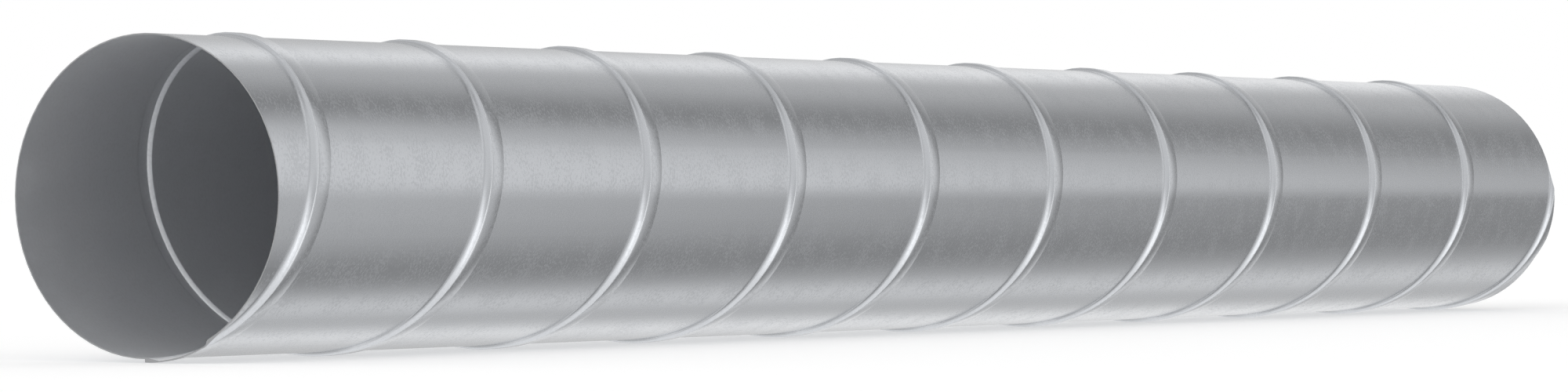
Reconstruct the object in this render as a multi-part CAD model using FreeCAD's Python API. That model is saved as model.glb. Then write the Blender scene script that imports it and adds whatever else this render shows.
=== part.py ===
import FreeCAD, Part
import math
import os

# Round duct wound from one strip of galvanised sheet. The strip runs round the tube as a left-handed
# helix, and its two edges are folded into each other along one seam, which stands outside the wall as
# a low rib and leaves a shallow groove inside. The whole duct is one piece.
#
# Millimetres. The duct is worked out along its own axis, from the near end (z = 0) to the far end.
# Angles round the axis are counted from the underside, and the seam climbs the front side as it goes
# from the near end to the far end. place_duct then sets the duct down as it is stored.

# The tube
BORE_DIAMETER = 125.0
SHEET = 0.5
LENGTH = 1250.0

# The strip that it is wound from, and how much of its width the folded seam uses up
STRIP_WIDTH = 137.0
SEAM_TAKE_UP = 19.8

# Where the seam's crest meets the near end, in degrees round from the underside
SEAM_START = 25.7

# Turn of the plain cylinders' construction line, clear of the helix's own joints
SEAM_LINE_TURN = 77.0

# The seam's rib outside the wall. Runs are along the axis, from the crest.
ROOF_HEIGHT = 1.5       # flat roof above the outer wall
CREST_RISE = 0.09       # how far the crest stands above the roof behind it
RAMP_RUN = 7.3          # the ramp's curve comes out of the middle of the wall from here
RAMP_BEND_RUN = 2.2     # where the ramp turns up towards the crest
RAMP_BEND_RISE = 0.12   # and how far outside the wall that is
ROOF_RUN = 8.8          # crest to the folded edge
EDGE_RADIUS = 0.25      # rounding of the folded edge

# The groove inside the wall, one sheet thickness under the rib's roof
GROOVE_LEAD = 0.2       # the groove's roof starts this far in front of the crest
FRONT_WALL_LEAN = 0.55  # and its front wall leans this much further out at the bore
FOLD_AT_ROOF = 2.4      # folded metal between the groove's roof and the rib's far side
FOLD_AT_BORE = 0.6      # and between the groove's mouth and the rib's far side

# Worked out from the sizes above
bore_radius = BORE_DIAMETER / 2
outer_radius = bore_radius + SHEET
roof_radius = outer_radius + ROOF_HEIGHT
crest_radius = roof_radius + CREST_RISE
groove_radius = roof_radius - SHEET
cover_width = STRIP_WIDTH - SEAM_TAKE_UP
helix_angle = math.asin(cover_width / (2 * math.pi * outer_radius))
pitch = cover_width / math.cos(helix_angle)
seam_start_z = -pitch * SEAM_START / 360
sunk_radius = outer_radius - SHEET / 2          # foot of the rib's section, inside the wall
open_radius = bore_radius - SHEET               # foot of the groove's section, inside the bore


def seam_path(radius):
    """Helix of the seam's crest, one turn longer than the duct at each end."""
    first_z = seam_start_z - pitch
    turns_length = LENGTH + 3 * pitch
    helix = Part.makeLongHelix(pitch, turns_length, radius, 0, True)
    helix.translate(FreeCAD.Vector(0, 0, first_z))
    return Part.Wire(helix.Edges)


def in_section(radius, run):
    """Point of the seam's section at the path's start, run past the crest along the axis."""
    return FreeCAD.Vector(radius, 0, seam_start_z - pitch + run)


def rib_section():
    """Closed outline of the rib: concave ramp, crest, roof, rounded folded edge, foot in the wall."""
    ramp_foot = in_section(sunk_radius, -RAMP_RUN)
    ramp_bend = in_section(outer_radius + RAMP_BEND_RISE, -RAMP_BEND_RUN)
    crest = in_section(crest_radius, 0)
    roof_end = in_section(roof_radius, ROOF_RUN - EDGE_RADIUS)
    edge_cut = EDGE_RADIUS * (1 - math.cos(math.pi / 4))
    edge_mid = in_section(roof_radius - edge_cut, ROOF_RUN - edge_cut)
    edge_end = in_section(roof_radius - EDGE_RADIUS, ROOF_RUN)
    far_foot = in_section(sunk_radius, ROOF_RUN)
    ramp = Part.BezierCurve()
    ramp.setPoles([ramp_foot, ramp_bend, crest])
    return Part.Wire([
        ramp.toShape(),
        Part.makeLine(crest, roof_end),
        Part.Arc(roof_end, edge_mid, edge_end).toShape(),
        Part.makeLine(edge_end, far_foot),
        Part.makeLine(far_foot, ramp_foot),
    ])


def groove_section():
    """Closed outline of the groove, its two leaning walls carried on into the bore."""
    depth = groove_radius - bore_radius
    carried_on = (groove_radius - open_radius) / depth
    roof_back = ROOF_RUN - FOLD_AT_ROOF
    back_wall_lean = FOLD_AT_ROOF - FOLD_AT_BORE
    corners = [
        in_section(open_radius, -GROOVE_LEAD - FRONT_WALL_LEAN * carried_on),
        in_section(groove_radius, -GROOVE_LEAD),
        in_section(groove_radius, roof_back),
        in_section(open_radius, roof_back + back_wall_lean * carried_on),
    ]
    return Part.makePolygon(corners + corners[:1])


def sweep_along_seam(section, radius):
    """Solid of a section carried along the seam's helix, always in a plane through the axis."""
    path = seam_path(radius)
    sweep = Part.BRepOffsetAPI.MakePipeShell(path)
    sweep.setBiNormalMode(FreeCAD.Vector(0, 0, 1))
    sweep.add(section)
    sweep.build()
    sweep.makeSolid()
    solid = sweep.shape()
    if solid.Volume < 0:
        solid.reverse()
    return solid


def cylinder(radius, start, length):
    """Cylinder on the duct's axis. Its own seam line is turned clear of the helix's joints."""
    shape = Part.makeCylinder(radius, length, FreeCAD.Vector(0, 0, start))
    shape.rotate(FreeCAD.Vector(0, 0, 0), FreeCAD.Vector(0, 0, 1), SEAM_LINE_TURN)
    return shape


def spiral_duct():
    """Round bar with the rib on it, cut to length, bored out, with the groove let into the bore."""
    rib = sweep_along_seam(rib_section(), outer_radius)
    groove = sweep_along_seam(groove_section(), outer_radius)
    ribbed_bar = cylinder(outer_radius, -2 * pitch, LENGTH + 5 * pitch).fuse(rib)
    cut_bar = ribbed_bar.common(cylinder(2 * crest_radius, 0, LENGTH))
    return cut_bar.cut(cylinder(bore_radius, -SHEET, LENGTH + 2 * SHEET)).cut(groove)


def place_duct(duct):
    """Lay the duct down: axis along +X, underside down, origin on the floor at mid-length."""
    lying = FreeCAD.Matrix(
        0, 0, 1, -LENGTH / 2,
        0, 1, 0, 0,
        -1, 0, 0, crest_radius,
        0, 0, 0, 1,
    )
    placed = duct.copy()
    placed.Placement = FreeCAD.Placement(lying)
    return placed


os.makedirs("parts", exist_ok=True)
part = place_duct(spiral_duct())
print("valid", part.isValid(), "solids", len(part.Solids), "volume", round(part.Volume, 1), "pitch", round(pitch, 3))
print("box", part.BoundBox)
part.exportStep("parts/spiral_duct.step")
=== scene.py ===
"""Looks of a round duct wound from one strip of galvanised sheet.

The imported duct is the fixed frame. Its wall is drawn again here as one closed surface from the same
sizes, with the parts of the lock seam that the solid leaves plain: the rounded crest, the gap between
the folded plies, the crowned roof and the rolled edge behind it.

Metres, in the frame's own axes: +X along the duct from its near end, +Z up, floor at z = 0. Angles
round the axis are counted from the underside towards the viewer's side, which is -Y. A "run" is a
distance along the axis past the seam's crest, and "unrolled" angles go on past a full turn, so that
one strip can be followed from end to end.
"""

import logging
import math
from dataclasses import dataclass
from enum import Enum

import bpy
import numpy as np
from mathutils import Euler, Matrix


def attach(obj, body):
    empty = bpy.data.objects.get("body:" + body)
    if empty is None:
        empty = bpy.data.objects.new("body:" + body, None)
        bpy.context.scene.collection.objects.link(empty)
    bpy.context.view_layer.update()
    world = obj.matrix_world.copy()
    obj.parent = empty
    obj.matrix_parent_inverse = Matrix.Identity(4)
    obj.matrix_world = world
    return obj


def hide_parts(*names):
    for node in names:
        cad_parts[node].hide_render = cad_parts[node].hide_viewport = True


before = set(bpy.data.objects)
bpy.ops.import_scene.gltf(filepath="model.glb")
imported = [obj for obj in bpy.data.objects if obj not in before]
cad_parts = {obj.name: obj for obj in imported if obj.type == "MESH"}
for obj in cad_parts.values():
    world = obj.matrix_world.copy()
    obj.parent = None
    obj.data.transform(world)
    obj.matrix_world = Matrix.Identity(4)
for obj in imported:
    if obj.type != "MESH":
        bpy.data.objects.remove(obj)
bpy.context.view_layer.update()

log = logging.getLogger("round_duct")

MM = 0.001
FULL_TURN = 2 * math.pi

# Points that agree to this many metres become one, and faces that meet at more than this angle keep a
# sharp edge between them.
WELD = 1e-7
SHARP_ANGLE = math.radians(38)

# Angles of rows are told apart to this many decimals of a radian. A row counts as on the duct up to
# this many radians past its ends, and as on a rim up to this many metres past the section.
ANGLE_DECIMALS = 9
ANGLE_SLACK = 1e-7
RUN_SLACK = 1e-9

# Directions of the surroundings, in degrees.
HALF_TURN_DEGREES = 180.0
QUARTER_TURN_DEGREES = 90.0
NADIR = -90.0
ZENITH = 90.0

# The map that keeps each corner's place on the flat strip.
STRIP_MAP = "strip"

# A line of a section: the run and the height over the plain surface of each station, in millimetres.
Stations = tuple[tuple[float, float], ...]


class Facing(Enum):
    """Which way a patch's faces look, against the order of its rows and columns."""

    WITH_GRID = 1
    AGAINST_GRID = -1


class Mixed(Enum):
    """What a Mix node mixes: its data type, then the numbers of its two inputs and of its output."""

    VALUE = ("FLOAT", 2, 3, 0)
    COLOUR = ("RGBA", 6, 7, 2)


class Patch(Enum):
    """The finishes on the duct, by material slot."""

    SHEET = 0
    LINING = 1
    CUT_EDGE = 2
    FOLD = 3
    CREST = 4


@dataclass(frozen=True)
class Helix:
    """The line that the seam's crest follows round the duct.

    The strip covers cover_width of the wall at right angles to the seam, so over one turn of the wall,
    2 pi radius, sin(angle) = cover_width / (2 pi radius), and pitch = cover_width / cos(angle).
    """

    radius: float
    cover_width: float
    start_degrees: float

    @property
    def angle(self) -> float:
        """Slope of the seam against a plain ring round the duct, in radians."""
        return math.asin(self.cover_width / (FULL_TURN * self.radius))

    @property
    def pitch(self) -> float:
        """Distance along the axis from one turn of the seam to the next."""
        return self.cover_width / math.cos(self.angle)

    def crest(self, theta: np.ndarray) -> np.ndarray:
        """Distance of the crest from the near end: pitch * (theta - start) / 2 pi.

        Args:
            theta: unrolled angles round the axis.

        Returns:
            Distances along the axis, one for each angle.
        """
        return self.pitch * (theta - math.radians(self.start_degrees)) / FULL_TURN

    def angle_at(self, distance: np.ndarray) -> np.ndarray:
        """Unrolled angle at which the crest is this far from the near end, the inverse of crest.

        Args:
            distance: distances along the axis.

        Returns:
            Unrolled angles, one for each distance.
        """
        return FULL_TURN * distance / self.pitch + math.radians(self.start_degrees)

    def strip(self, theta: np.ndarray, distance: np.ndarray) -> np.ndarray:
        """Place on the flat strip: turn (radius * theta, distance) by the seam's angle.

        The first coordinate runs along the strip and the second across it, from the crest at 0.

        Args:
            theta: unrolled angles round the axis.
            distance: distances from the near end, of the same shape.

        Returns:
            Array with a last axis of (along, across), in metres.
        """
        round_wall = self.radius * (theta - math.radians(self.start_degrees))
        along = round_wall * math.cos(self.angle) + distance * math.sin(self.angle)
        across = distance * math.cos(self.angle) - round_wall * math.sin(self.angle)
        return np.stack([along, across], axis=-1)


@dataclass(frozen=True)
class Section:
    """One side of the wall, cut by a plane through the axis, over one pitch of the seam.

    It has a run and a radius for each station, and a patch number for each span between two stations.
    """

    runs: np.ndarray
    radii: np.ndarray
    patches: np.ndarray

    def radius_at(self, run: np.ndarray) -> np.ndarray:
        """Radius at a run past the crest, on straight lines between the section's stations."""
        return np.interp(run, self.runs, self.radii)


@dataclass(frozen=True)
class Grid:
    """A sheet of surface: points over rows and columns, with their places on the flat strip.

    Each column of cells has its patch number.
    """

    points: np.ndarray
    strip: np.ndarray
    facing: Facing
    patches: np.ndarray

    def corner_patches(self) -> np.ndarray:
        """Patch number of each triangle, in the order of corners.

        Returns:
            Array of one number a triangle.
        """
        return np.tile(self.patches, 2 * (self.points.shape[0] - 1))

    def corners(self) -> np.ndarray:
        """Two triangles a cell, as flat indices into the grid's points.

        Returns:
            Array of three indices a triangle.
        """
        rows, columns = self.points.shape[:2]
        index = np.arange(rows * columns).reshape(rows, columns)
        low, right = index[:-1, :-1], index[:-1, 1:]
        far, left = index[1:, 1:], index[1:, :-1]
        first = np.stack([low, right, far], axis=-1).reshape(-1, 3)
        second = np.stack([low, far, left], axis=-1).reshape(-1, 3)
        triangles = np.concatenate([first, second])
        return triangles if self.facing is Facing.WITH_GRID else triangles[:, ::-1]


def in_metres(stations: Stations) -> np.ndarray:
    """Stations of a section as an array, a row of (run, height) in metres for each."""
    return np.array(stations) * MM


def welded_mesh(name: str, grids: list[Grid], uv_name: str) -> bpy.types.Mesh:
    """One closed mesh from patches: points at the same place become one, empty triangles go.

    Args:
        name: name of the mesh.
        grids: the patches.
        uv_name: name of the map that keeps each corner's place on the strip.

    Returns:
        The mesh, smooth but for its sharp edges.
    """
    points, strip, corners, patches = [], [], [], []
    base = 0
    for grid in grids:
        triangles = grid.corners()
        points.append(grid.points.reshape(-1, 3))
        strip.append(grid.strip.reshape(-1, 2))
        corners.append(triangles + base)
        patches.append(grid.corner_patches())
        base += len(points[-1])
    place = np.concatenate(points)
    loops = np.concatenate(corners)
    patch = np.concatenate(patches)
    keys = np.round(place / WELD).astype(np.int64)
    _, first, shared = np.unique(keys, axis=0, return_index=True, return_inverse=True)
    shared = shared.reshape(-1)
    faces = shared[loops]
    whole = (
        (faces[:, 0] != faces[:, 1]) & (faces[:, 1] != faces[:, 2]) & (faces[:, 2] != faces[:, 0])
    )
    mesh = bpy.data.meshes.new(name)
    mesh.from_pydata(place[first], [], faces[whole])
    uv = mesh.uv_layers.new(name=uv_name)
    uv.uv.foreach_set("vector", np.concatenate(strip)[loops[whole]].astype(np.float32).ravel())
    mesh.polygons.foreach_set("material_index", patch[whole].astype(np.int32))
    mesh.polygons.foreach_set("use_smooth", np.ones(int(whole.sum()), dtype=bool))
    mesh.set_sharp_from_angle(angle=SHARP_ANGLE)
    mesh.update()
    return mesh


class Wiring:
    """Places shader nodes in one tree and joins them."""

    def __init__(self, tree: bpy.types.NodeTree) -> None:
        """Keeps the tree.

        Args:
            tree: the node tree to work in.
        """
        self.tree = tree

    def node(self, kind: str, inputs: dict[str | int, object] | None = None,
             **settings: object) -> bpy.types.Node:
        """Places a node and feeds its inputs.

        Args:
            kind: the node's type.
            inputs: values or output sockets by the name or number of the input they feed.
            settings: the node's own properties.

        Returns:
            The node.
        """
        node = self.tree.nodes.new(kind)
        for key, value in settings.items():
            setattr(node, key, value)
        for key, value in (inputs or {}).items():
            if isinstance(value, bpy.types.NodeSocket):
                self.tree.links.new(value, node.inputs[key])
            else:
                node.inputs[key].default_value = value
        return node

    def math(self, operation: str, *values: object) -> bpy.types.NodeSocket:
        """Output of a Math node.

        Args:
            operation: what it does.
            values: numbers or sockets, in order.

        Returns:
            The node's value socket.
        """
        return self.node("ShaderNodeMath", dict(enumerate(values)), operation=operation).outputs[0]

    def mix(self, kind: Mixed, share: object, first: object, second: object) -> bpy.types.NodeSocket:
        """Output of a Mix node: first where the share is 0, second where it is 1.

        Args:
            kind: whether values or colours are mixed.
            share: how much of the second one there is.
            first: value, colour or socket.
            second: value, colour or socket.

        Returns:
            The result's socket.
        """
        data_type, first_input, second_input, output = kind.value
        inputs = {0: share, first_input: first, second_input: second}
        return self.node("ShaderNodeMix", inputs, data_type=data_type).outputs[output]

    def remap(self, value: object, low: float, high: float, to_low: float = 0.0,
              to_high: float = 1.0) -> bpy.types.NodeSocket:
        """A value taken smoothly from one range to another, and held at its ends.

        Args:
            value: the socket to take.
            low: where the range starts.
            high: where it ends.
            to_low: result at low.
            to_high: result at high.

        Returns:
            The result's socket.
        """
        inputs = {
            "Value": value, "From Min": low, "From Max": high, "To Min": to_low, "To Max": to_high,
        }
        return self.node("ShaderNodeMapRange", inputs, interpolation_type="SMOOTHSTEP").outputs[0]


def new_group(name: str, inputs: dict[str, str], outputs: dict[str, str]) -> tuple[
        bpy.types.NodeTree, Wiring, bpy.types.Node, bpy.types.Node]:
    """Starts a shader node group with named sockets.

    Args:
        name: the group's name.
        inputs: socket types by input name.
        outputs: socket types by output name.

    Returns:
        The group, its wiring, its input node and its output node.
    """
    tree = bpy.data.node_groups.new(name, "ShaderNodeTree")
    for label, kind in inputs.items():
        tree.interface.new_socket(label, in_out="INPUT", socket_type=kind)
    for label, kind in outputs.items():
        tree.interface.new_socket(label, in_out="OUTPUT", socket_type=kind)
    wiring = Wiring(tree)
    return tree, wiring, wiring.node("NodeGroupInput"), wiring.node("NodeGroupOutput")


def new_material(name: str) -> tuple[bpy.types.Material, Wiring]:
    """Starts a material with no nodes.

    Args:
        name: the material's name.

    Returns:
        The material and its wiring.
    """
    material = bpy.data.materials.new(name)
    material.use_nodes = True
    material.node_tree.nodes.clear()
    return material, Wiring(material.node_tree)


@dataclass(frozen=True)
class FleckPattern:
    """Flecks that lie along the strip, as the rollers left them in the zinc.

    The place on the strip is stretched, so that a fleck is Length long and Width wide. A slower noise
    gathers the flecks in drifts: level = fine + drift_weight * drift - Threshold, and the mask fades
    in smoothly as the level goes from fade_starts to fade_ends.
    """

    fine_scale: float = 1.0
    fine_detail: float = 1.2
    drift_scale: float = 0.10
    drift_detail: float = 1.0
    drift_weight: float = 0.45
    detail_roughness: float = 0.5
    fade_starts: float = -0.09
    fade_ends: float = 0.15

    def group(self) -> bpy.types.NodeTree:
        """The pattern as a node group, for every finish to place with its own sizes.

        Returns:
            The group, which puts out a mask from 0 to 1 and the fine noise as a height.
        """
        tree, wiring, given, out = new_group(
            "zinc_flecks",
            {
                "Strip": "NodeSocketVector",
                "Length": "NodeSocketFloat",
                "Width": "NodeSocketFloat",
                "Threshold": "NodeSocketFloat",
            },
            {"Mask": "NodeSocketFloat", "Height": "NodeSocketFloat"},
        )
        parts = wiring.node("ShaderNodeSeparateXYZ", {0: given.outputs["Strip"]})
        along = wiring.math("DIVIDE", parts.outputs[0], given.outputs["Length"])
        across = wiring.math("DIVIDE", parts.outputs[1], given.outputs["Width"])
        place = wiring.node("ShaderNodeCombineXYZ", {0: along, 1: across}).outputs[0]
        fine = self.noise(wiring, place, self.fine_scale, self.fine_detail)
        drift = self.noise(wiring, place, self.drift_scale, self.drift_detail)
        raised = wiring.math("ADD", fine, wiring.math("MULTIPLY", drift, self.drift_weight))
        level = wiring.math("SUBTRACT", raised, given.outputs["Threshold"])
        tree.links.new(wiring.remap(level, self.fade_starts, self.fade_ends), out.inputs["Mask"])
        tree.links.new(fine, out.inputs["Height"])
        return tree

    def noise(self, wiring: Wiring, place: bpy.types.NodeSocket, scale: float,
              detail: float) -> bpy.types.NodeSocket:
        """Noise over the stretched strip.

        Args:
            wiring: the group's wiring.
            place: socket of the stretched place.
            scale: how fine the noise is.
            detail: how many finer layers it has.

        Returns:
            The noise's socket.
        """
        inputs = {"Vector": place, "Scale": scale, "Detail": detail, "Roughness": self.detail_roughness}
        return wiring.node("ShaderNodeTexNoise", inputs).outputs[0]


@dataclass(frozen=True)
class GalvanisedSheet:
    """Satin zinc, with faint flecks along the strip. With no values given, it is the wall outside."""

    name: str = "galvanised_sheet"
    colour: tuple[float, float, float] = (0.617, 0.634, 0.661)
    fleck_colour: tuple[float, float, float] = (0.607, 0.624, 0.651)
    roughness: float = 0.19
    fleck_roughness: float = 0.275
    fleck_length: float = 1.5 * MM
    fleck_width: float = 1.1 * MM
    fleck_threshold: float = 0.745
    unevenness: float = 0.011 * MM

    def material(self, flecks: bpy.types.NodeTree) -> bpy.types.Material:
        """Metal whose roughness and colour change from fleck to fleck.

        Args:
            flecks: the flecks' group.

        Returns:
            The material.
        """
        material, wiring = new_material(self.name)
        strip = wiring.node("ShaderNodeUVMap", uv_map=STRIP_MAP).outputs[0]
        fleck, height = self.fleck_sockets(wiring, flecks, strip)
        colour = wiring.mix(Mixed.COLOUR, fleck, (*self.colour, 1.0), (*self.fleck_colour, 1.0))
        roughness = wiring.remap(fleck, 0.0, 1.0, self.roughness, self.fleck_roughness)
        uneven = wiring.node(
            "ShaderNodeBump", {"Height": height, "Strength": 1.0, "Distance": self.unevenness},
        )
        shader = wiring.node(
            "ShaderNodeBsdfPrincipled",
            {"Base Color": colour, "Metallic": 1.0, "Roughness": roughness, "Normal": uneven.outputs[0]},
        )
        wiring.node("ShaderNodeOutputMaterial", {"Surface": shader.outputs[0]})
        return material

    def fleck_sockets(
            self, wiring: Wiring, flecks: bpy.types.NodeTree, strip: bpy.types.NodeSocket,
    ) -> tuple[bpy.types.NodeSocket, bpy.types.NodeSocket]:
        """The flecks' mask and height in this sheet's own sizes.

        Args:
            wiring: where to place the group.
            flecks: the group.
            strip: socket of the place on the strip.

        Returns:
            The mask's socket and the height's socket.
        """
        inputs = {
            "Strip": strip,
            "Length": self.fleck_length,
            "Width": self.fleck_width,
            "Threshold": self.fleck_threshold,
        }
        node = wiring.node("ShaderNodeGroup", inputs, node_tree=flecks)
        return node.outputs["Mask"], node.outputs["Height"]


@dataclass(frozen=True)
class CutEdge:
    """Bare steel where the duct was sawn to length."""

    name: str = "cut_edge"
    colour: tuple[float, float, float] = (0.47, 0.475, 0.485)
    roughness: float = 0.32
    roughness_in_marks: float = 0.15
    mark_scale: float = 900.0
    mark_detail: float = 2.0
    marks_start: float = 0.3
    marks_full: float = 0.7

    def material(self) -> bpy.types.Material:
        """Metal with fine saw marks, which are rougher than the rest by roughness_in_marks.

        Returns:
            The material.
        """
        material, wiring = new_material(self.name)
        strip = wiring.node("ShaderNodeUVMap", uv_map=STRIP_MAP).outputs[0]
        marks = wiring.node(
            "ShaderNodeTexNoise",
            {"Vector": strip, "Scale": self.mark_scale, "Detail": self.mark_detail},
        )
        roughness = wiring.remap(
            marks.outputs[0], self.marks_start, self.marks_full,
            self.roughness, self.roughness + self.roughness_in_marks,
        )
        shader = wiring.node(
            "ShaderNodeBsdfPrincipled",
            {"Base Color": (*self.colour, 1.0), "Metallic": 1.0, "Roughness": roughness},
        )
        wiring.node("ShaderNodeOutputMaterial", {"Surface": shader.outputs[0]})
        return material


# Rougher, duller zinc inside, coloured lighter than the sheet as painted light that brightens the inside;
# the fold in the groove and the crest are coloured lighter still, as painted highlights.
# Painted light: the lining's colour is lighter than the outer sheet's so that the inside of the duct
# looks brighter.
LINING_ZINC_PAINTED_LIGHT = GalvanisedSheet(
    name="galvanised_lining_painted_light",
    colour=(0.85, 0.858, 0.873),
    fleck_colour=(0.828, 0.835, 0.848),
    roughness=0.557,
    fleck_roughness=0.607,
)
# Painted highlight: the fold's back wall in the groove is coloured near white so that it shows as a
# bright band.
FOLD_PAINTED_HIGHLIGHT = GalvanisedSheet(
    name="galvanised_fold_painted_highlight",
    colour=(0.945, 0.955, 0.97),
    fleck_colour=(0.89, 0.90, 0.915),
    roughness=0.375,
    fleck_roughness=0.44,
)
# Painted highlight: the crest is coloured lighter than the sheet so that it shows as a thin bright line.
CREST_PAINTED_HIGHLIGHT = GalvanisedSheet(
    name="crest_painted_highlight",
    colour=(0.88, 0.90, 0.93),
    fleck_colour=(0.80, 0.815, 0.84),
    roughness=0.30,
    fleck_roughness=0.37,
)


@dataclass(frozen=True)
class SpiralDuct:
    """The duct: one strip wound round the axis, its edges folded together along a helical seam.

    Sizes are in metres, roof_crown is in 1 / metre, and the sections' stations are in millimetres. The
    outer section goes through ply_edge, the roof, rolled_edge, wall_end, the ramp and crest_line, and
    the inner one through groove_line and front_line. The runs of wall_end, the ramp, crest_line and
    front_line count from the next turn's crest.
    """

    bore_radius: float = 62.5 * MM
    sheet: float = 0.5 * MM
    length: float = 1250.0 * MM
    cover_width: float = 117.2 * MM
    seam_start_degrees: float = 25.7
    crest_height: float = 1.59 * MM
    ramp_run: float = 4.8 * MM
    ramp_height: float = 1.78 * MM
    ramp_curve: float = 2.4
    gap_run: float = 0.3 * MM
    roof_height: float = 1.50 * MM
    roof_rise: float = 0.055
    roof_crown: float = 9.0
    crest_half_width: float = 0.22 * MM
    fold_starts: float = 6.4 * MM
    fold_ends: float = 8.6 * MM
    ply_edge: Stations = ((0.30, 1.37), (0.34, 1.44), (0.41, 1.49))
    roof_runs: tuple[float, ...] = (0.60, 1.60, 2.80, 4.00, 5.20, 6.30, 7.20, 7.90)
    rolled_edge: Stations = ((8.30, 1.367), (8.72, 1.33), (8.80, 1.22), (8.801, 0.0), (9.60, 0.0))
    wall_end: Stations = ((-5.3, 0.0),)
    ramp_rises: tuple[float, ...] = (
        0.0, 0.12, 0.22, 0.31, 0.39, 0.47, 0.55, 0.62, 0.69, 0.75, 0.80, 0.85, 0.90,
    )
    crest_line: Stations = (
        (-0.36, 1.475), (-0.20, 1.54), (-0.05, 1.578), (0.08, 1.59),
        (0.17, 1.575), (0.24, 1.53), (0.28, 1.46), (0.30, 1.37),
    )
    groove_line: Stations = (
        (0.30, 1.50), (6.60, 1.50), (6.76, 1.47), (6.87, 1.38), (7.12, 1.10), (7.40, 0.83),
        (7.82, 0.47), (8.28, 0.09), (8.40, 0.02), (8.50, 0.0), (10.0, 0.0),
    )
    front_line: Stations = (
        (-2.5, 0.0), (-0.95, 0.0), (-0.80, 0.04), (-0.70, 0.16),
        (-0.30, 1.34), (-0.22, 1.45), (-0.10, 1.50), (0.30, 1.50),
    )
    rows_per_turn: int = 72
    rows_apart_degrees: float = 0.3

    @property
    def outer_radius(self) -> float:
        """Radius of the plain wall outside."""
        return self.bore_radius + self.sheet

    @property
    def axis_height(self) -> float:
        """Height of the axis over the floor, with the seam's crest resting on it."""
        return self.outer_radius + self.crest_height

    @property
    def helix(self) -> Helix:
        """The line of the seam's crest."""
        return Helix(self.outer_radius, self.cover_width, self.seam_start_degrees)

    def outside(self) -> Section:
        """The wall outside: gap, roof, rolled edge, plain wall, ramp and crest.

        At a run s past the gap, the roof's height is roof_height + roof_rise * s - roof_crown * s ** 2.
        With t rising from 0 at the ramp's foot to 1 where it would meet the crest, the ramp's height is
        ramp_height * t ** ramp_curve. It leaves the wall gently, and is cut off short of t = 1 by the
        crest's rounding.

        Returns:
            The section, over one pitch from the gap between the plies.
        """
        roof_run = np.array(self.roof_runs) * MM
        past_gap = roof_run - self.gap_run
        roof_height = self.roof_height + self.roof_rise * past_gap - self.roof_crown * past_gap ** 2
        roof = np.stack([roof_run, roof_height], axis=-1)
        rise = np.array(self.ramp_rises)
        height = self.ramp_height * rise ** self.ramp_curve
        ramp = np.stack([self.ramp_run * (rise - 1), height], axis=-1)
        before_crest = np.concatenate([in_metres(self.wall_end), ramp, in_metres(self.crest_line)])
        before_crest[:, 0] += self.helix.pitch
        stations = np.concatenate([
            in_metres(self.ply_edge), roof, in_metres(self.rolled_edge), before_crest,
        ])
        middles = (stations[:-1, 0] + stations[1:, 0]) / 2
        # Spans on the crest get the crest's painted highlight colour.
        on_crest = middles > self.helix.pitch - self.crest_half_width
        patches = np.where(on_crest, Patch.CREST.value, Patch.SHEET.value)
        return Section(stations[:, 0], self.outer_radius + stations[:, 1], patches)

    def inside(self) -> Section:
        """The wall inside: the groove under the roof, its leaning back wall, bore and front wall.

        Returns:
            The section, over the same pitch as the outside.
        """
        front = in_metres(self.front_line)
        front[:, 0] += self.helix.pitch
        stations = np.concatenate([in_metres(self.groove_line), front])
        middles = (stations[:-1, 0] + stations[1:, 0]) / 2
        # Spans on the fold's back wall get the fold's painted highlight colour, the rest the lining's
        # lighter painted-light colour.
        in_fold = (middles > self.fold_starts) & (middles < self.fold_ends)
        patches = np.where(in_fold, Patch.FOLD.value, Patch.LINING.value)
        return Section(stations[:, 0], self.bore_radius + stations[:, 1], patches)

    def rows(self, sections: list[Section]) -> np.ndarray:
        """Unrolled angles of the grid's rows, the same in every turn.

        A row stands at each even step, and one where each station of a section meets an end of the
        duct, so that the ends show the section's corners. An even row too near to one of those goes.

        Args:
            sections: the sections whose stations count.

        Returns:
            Rising angles, over every turn that has any of the strip on the duct.
        """
        helix = self.helix
        runs = np.concatenate([section.runs for section in sections])
        exact = np.concatenate([helix.angle_at(-runs), helix.angle_at(self.length - runs)])
        exact = np.unique(np.round(np.mod(exact, FULL_TURN), ANGLE_DECIMALS))
        even = np.arange(self.rows_per_turn) * FULL_TURN / self.rows_per_turn
        apart = np.abs(even[:, None] - exact[None, :])
        apart = np.minimum(apart, FULL_TURN - apart).min(axis=1)
        kept = even[apart > math.radians(self.rows_apart_degrees)]
        turn = np.sort(np.concatenate([kept, exact]))
        pitch_start = sections[0].runs[0]
        first = helix.angle_at(np.array(-pitch_start - helix.pitch))
        last = helix.angle_at(np.array(self.length - pitch_start))
        turns = np.arange(math.floor(first / FULL_TURN), math.ceil(last / FULL_TURN) + 1)
        angles = (turns[:, None] * FULL_TURN + turn[None, :]).ravel()
        return angles[(angles > first - ANGLE_SLACK) & (angles < last + ANGLE_SLACK)]

    def place(self, theta: np.ndarray, distance: np.ndarray, radius: np.ndarray) -> np.ndarray:
        """Points in the frame: x = distance - length / 2, y = -r sin(theta), z = axis - r cos(theta).

        Args:
            theta: angles round the axis from the underside towards the viewer's side.
            distance: distances from the near end.
            radius: distances from the axis.

        Returns:
            Array with a last axis of (x, y, z).
        """
        x = distance - self.length / 2
        y = -radius * np.sin(theta)
        z = self.axis_height - radius * np.cos(theta)
        return np.stack(np.broadcast_arrays(x, y, z), axis=-1)

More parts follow.
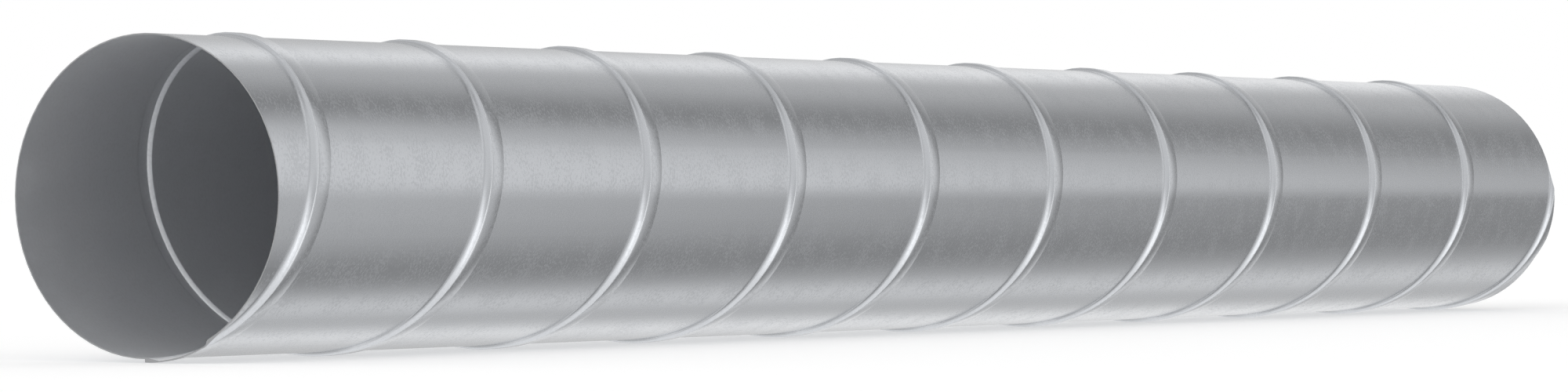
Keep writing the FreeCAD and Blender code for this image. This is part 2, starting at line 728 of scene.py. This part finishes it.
    def skin(self, section: Section, theta: np.ndarray, facing: Facing) -> Grid:
        """The section carried along the seam: distance = crest(theta) + run, cut at both ends.

        Args:
            section: the side of the wall.
            theta: unrolled angles of the rows.
            facing: which way the faces look.

        Returns:
            The grid, with a row for each angle and a column for each station.
        """
        crest = self.helix.crest(theta)[:, None]
        distance = np.clip(crest + section.runs[None, :], 0.0, self.length)
        radius = section.radius_at(distance - crest)
        turned = np.broadcast_to(theta[:, None], distance.shape)
        points = self.place(turned, distance, radius)
        return Grid(points, self.helix.strip(turned, distance), facing, section.patches)

    def rim(self, outside: Section, inside: Section, theta: np.ndarray, end: float,
            facing: Facing) -> Grid:
        """The sawn end: from the outer radius to the inner one, all the way round.

        Args:
            outside: the section outside.
            inside: the section inside.
            theta: unrolled angles of the rows.
            end: the end's distance from the near end.
            facing: which way the faces look.

        Returns:
            The grid, with a row for each angle and two columns.
        """
        run = end - self.helix.crest(theta)
        here = (run > outside.runs[0] - RUN_SLACK) & (run < outside.runs[-1] + RUN_SLACK)
        run, angle = run[here], theta[here]
        radius = np.stack([outside.radius_at(run), inside.radius_at(run)], axis=-1)
        turned = np.broadcast_to(angle[:, None], radius.shape)
        distance = np.full(radius.shape, end)
        strip = self.helix.strip(turned, distance + radius - self.bore_radius)
        patches = np.array([Patch.CUT_EDGE.value])
        return Grid(self.place(turned, distance, radius), strip, facing, patches)

    def build(self) -> bpy.types.Object:
        """The whole duct as one closed mesh.

        Returns:
            The object, placed in its mesh.
        """
        outside, inside = self.outside(), self.inside()
        theta = self.rows([outside, inside])
        grids = [
            self.skin(outside, theta, Facing.WITH_GRID),
            self.skin(inside, theta, Facing.AGAINST_GRID),
            self.rim(outside, inside, theta, 0.0, Facing.AGAINST_GRID),
            self.rim(outside, inside, theta, self.length, Facing.WITH_GRID),
        ]
        mesh = welded_mesh("duct_wall", grids, STRIP_MAP)
        duct = bpy.data.objects.new("duct_wall", mesh)
        bpy.context.scene.collection.objects.link(duct)
        return duct

    def dress(self, duct: bpy.types.Object) -> None:
        """Gives the duct its finishes and ties it to the frame.

        Args:
            duct: the duct's object.
        """
        flecks = FleckPattern().group()
        finishes = {
            Patch.SHEET: GalvanisedSheet().material(flecks),
            Patch.LINING: LINING_ZINC_PAINTED_LIGHT.material(flecks),
            Patch.CUT_EDGE: CutEdge().material(),
            Patch.FOLD: FOLD_PAINTED_HIGHLIGHT.material(flecks),
            Patch.CREST: CREST_PAINTED_HIGHLIGHT.material(flecks),
        }
        for patch in Patch:
            duct.data.materials.append(finishes[patch])
        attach(duct, "root")
        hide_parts("spiral_duct")


@dataclass(frozen=True)
class Panel:
    """A soft-edged upright panel of the surroundings, in degrees of azimuth and elevation.

    Azimuth is counted from +X towards +Y. A flag takes its depth out of the white behind it, and a
    lamp panel adds its depth to it.
    """

    azimuth: float
    half_width: float
    soft_width: float
    depth: float
    low: float = NADIR
    high: float = ZENITH
    soft_low: float = 8.0
    soft_high: float = 8.0

    def mask(self, wiring: Wiring, azimuth: bpy.types.NodeSocket,
             elevation: bpy.types.NodeSocket) -> bpy.types.NodeSocket:
        """Where the panel stands, 0 to depth. It stands again half a turn round the duct.

        Args:
            wiring: the surroundings' wiring.
            azimuth: socket of a direction's azimuth.
            elevation: socket of its elevation.

        Returns:
            The mask's socket.
        """
        turned = wiring.math("SUBTRACT", azimuth, self.azimuth - QUARTER_TURN_DEGREES)
        folded = wiring.math("FLOORED_MODULO", turned, HALF_TURN_DEGREES)
        away = wiring.math("ABSOLUTE", wiring.math("SUBTRACT", folded, QUARTER_TURN_DEGREES))
        mask = wiring.remap(away, self.half_width, self.half_width + self.soft_width, self.depth, 0.0)
        if self.low > NADIR:
            bottom = wiring.remap(elevation, self.low, self.low + self.soft_low)
            mask = wiring.math("MULTIPLY", mask, bottom)
        if self.high < ZENITH:
            top = wiring.remap(elevation, self.high - self.soft_high, self.high, 1.0, 0.0)
            mask = wiring.math("MULTIPLY", mask, top)
        return mask


@dataclass(frozen=True)
class Glow:
    """A round soft light far off in one direction, seen from one side only.

    With c the cosine between a direction and its own, it fades in from c = starts to c = full. With a
    strength under 0 it is a shade, which takes light away there.
    """

    direction: tuple[float, float, float]
    strength: float
    starts: float
    full: float

    def light(self, wiring: Wiring, looking: bpy.types.NodeSocket) -> bpy.types.NodeSocket:
        """What the glow adds in a direction.

        Args:
            wiring: the surroundings' wiring.
            looking: socket of the direction.

        Returns:
            The light's socket.
        """
        towards = wiring.node(
            "ShaderNodeVectorMath", {0: looking, 1: self.direction}, operation="DOT_PRODUCT",
        ).outputs["Value"]
        return wiring.remap(towards, self.starts, self.full, 0.0, self.strength)


@dataclass(frozen=True)
class Studio:
    """White floor, surroundings for the metal to mirror, and the camera.

    The surroundings are white, at the strength white, behind soft grey flags. The lamp panel and the
    glows add their light to that, and the shade among the glows takes some away.
    """

    floor_reach: float = 40.0
    floor_colour: float = 0.8
    floor_glow: float = 0.35
    white: float = 1.06
    flags: tuple[Panel, ...] = (
        Panel(azimuth=40.3, half_width=5.7, soft_width=15.6, depth=0.44,
              low=-75.0, high=75.0, soft_low=30.0, soft_high=30.0),
        Panel(azimuth=-45.7, half_width=3.5, soft_width=13.0, depth=0.36,
              low=-75.0, high=85.0, soft_low=30.0, soft_high=20.0),
        Panel(azimuth=-15.4, half_width=0.0, soft_width=21.6, depth=0.55,
              low=-2.0, high=72.0, soft_low=8.0, soft_high=24.0),
        Panel(azimuth=-1.1, half_width=10.6, soft_width=14.6, depth=0.46,
              low=-2.0, high=72.0, soft_low=8.0, soft_high=24.0),
        Panel(azimuth=-19.9, half_width=1.2, soft_width=24.2, depth=0.72,
              low=-75.0, high=6.0, soft_low=30.0, soft_high=8.0),
        Panel(azimuth=10.1, half_width=1.2, soft_width=13.2, depth=0.44,
              low=-75.0, high=6.0, soft_low=30.0, soft_high=8.0),
        Panel(azimuth=-95.0, half_width=30.0, soft_width=16.0, depth=0.25, low=4.0, soft_low=12.0),
        Panel(azimuth=-15.0, half_width=38.0, soft_width=25.0, depth=0.34, low=48.0, soft_low=16.0),
    )
    lamp_panel: Panel = Panel(azimuth=-90.0, half_width=9.0, soft_width=12.0, depth=0.55,
                              low=-38.0, high=10.0, soft_low=20.0, soft_high=12.0)
    glows: tuple[Glow, ...] = (
        Glow(direction=(-0.92, -0.10, 0.38), strength=3.0, starts=0.92, full=0.99),
        Glow(direction=(-0.55, -0.56, 0.62), strength=0.45, starts=0.90, full=0.99),
        Glow(direction=(-0.45, -0.89, 0.0), strength=-0.16, starts=0.75, full=0.95),
    )
    glossy_bounces: int = 10
    eye: tuple[float, float, float] = (-2.44376, -1.34029, 0.06459)
    heading: float = -59.88
    lens: float = 133.54
    sensor: float = 36.0

    def surroundings(self) -> None:
        """Plain white for the camera, and for the metal the white with its flags, panel and glows."""
        world = bpy.data.worlds.new("studio")
        bpy.context.scene.world = world
        world.use_nodes = True
        world.node_tree.nodes.clear()
        wiring = Wiring(world.node_tree)
        direction = wiring.node("ShaderNodeTexCoord").outputs["Generated"]
        x, y, z = wiring.node("ShaderNodeSeparateXYZ", {0: direction}).outputs
        azimuth = wiring.math("DEGREES", wiring.math("ARCTAN2", y, x))
        elevation = wiring.math("DEGREES", wiring.math("ARCSINE", z))
        light = self.white
        for flag in self.flags:
            let_by = wiring.math("SUBTRACT", 1.0, flag.mask(wiring, azimuth, elevation))
            light = wiring.math("MULTIPLY", light, let_by)
        light = wiring.math("ADD", light, self.lamp_panel.mask(wiring, azimuth, elevation))
        for glow in self.glows:
            light = wiring.math("ADD", light, glow.light(wiring, direction))
        path = wiring.node("ShaderNodeLightPath")
        plain = wiring.math("MAXIMUM", path.outputs["Is Camera Ray"], path.outputs["Is Transmission Ray"])
        strength = wiring.mix(Mixed.VALUE, plain, light, 1.0)
        shader = wiring.node(
            "ShaderNodeBackground", {"Color": (1.0, 1.0, 1.0, 1.0), "Strength": strength},
        )
        wiring.node("ShaderNodeOutputWorld", {"Surface": shader.outputs[0]})

    def floor(self) -> bpy.types.Object:
        """A wide white floor that keeps the duct's soft shadow.

        Returns:
            The floor.
        """
        reach = self.floor_reach
        mesh = bpy.data.meshes.new("studio_floor")
        corners = [(-reach, -reach, 0.0), (reach, -reach, 0.0), (reach, reach, 0.0), (-reach, reach, 0.0)]
        mesh.from_pydata(corners, [], [(0, 1, 2, 3)])
        floor = bpy.data.objects.new("studio_floor", mesh)
        bpy.context.scene.collection.objects.link(floor)
        floor.visible_glossy = False
        material, wiring = new_material("white_floor")
        grey = (self.floor_colour,) * 3 + (1.0,)
        matt = wiring.node("ShaderNodeBsdfDiffuse", {"Color": grey})
        path = wiring.node("ShaderNodeLightPath")
        seen = wiring.math("MAXIMUM", path.outputs["Is Camera Ray"], path.outputs["Is Glossy Ray"])
        seen = wiring.math("MAXIMUM", seen, path.outputs["Is Transmission Ray"])
        strength = wiring.math("MULTIPLY", seen, self.floor_glow)
        glow = wiring.node("ShaderNodeEmission", {"Strength": strength})
        both = wiring.node("ShaderNodeAddShader", {0: matt.outputs[0], 1: glow.outputs[0]})
        wiring.node("ShaderNodeOutputMaterial", {"Surface": both.outputs[0]})
        mesh.materials.append(material)
        return floor

    def camera(self) -> bpy.types.Object:
        """The camera, level with the duct's axis and 30 degrees off it.

        Returns:
            The camera, set as the scene's own.
        """
        data = bpy.data.cameras.new("photo_camera")
        data.sensor_width = self.sensor
        data.lens = self.lens
        camera = bpy.data.objects.new("photo_camera", data)
        bpy.context.scene.collection.objects.link(camera)
        camera.location = self.eye
        camera.rotation_euler = Euler((math.pi / 2, 0.0, math.radians(self.heading)))
        bpy.context.scene.camera = camera
        return camera


def main() -> None:
    """Builds the camera, the duct and the studio, in that order."""
    logging.basicConfig(level=logging.INFO, format="%(name)s: %(message)s")
    scene = bpy.context.scene
    scene.view_settings.view_transform = "Standard"
    studio = Studio()
    scene.cycles.glossy_bounces = studio.glossy_bounces
    log.info("%s: set", studio.camera().name)
    duct = SpiralDuct()
    wall = duct.build()
    duct.dress(wall)
    log.info("%s: %d triangles", wall.name, len(wall.data.polygons))
    studio.surroundings()
    log.info("%s: set", scene.world.name)
    log.info("%s: laid", studio.floor().name)


if __name__ == "__main__":
    main()
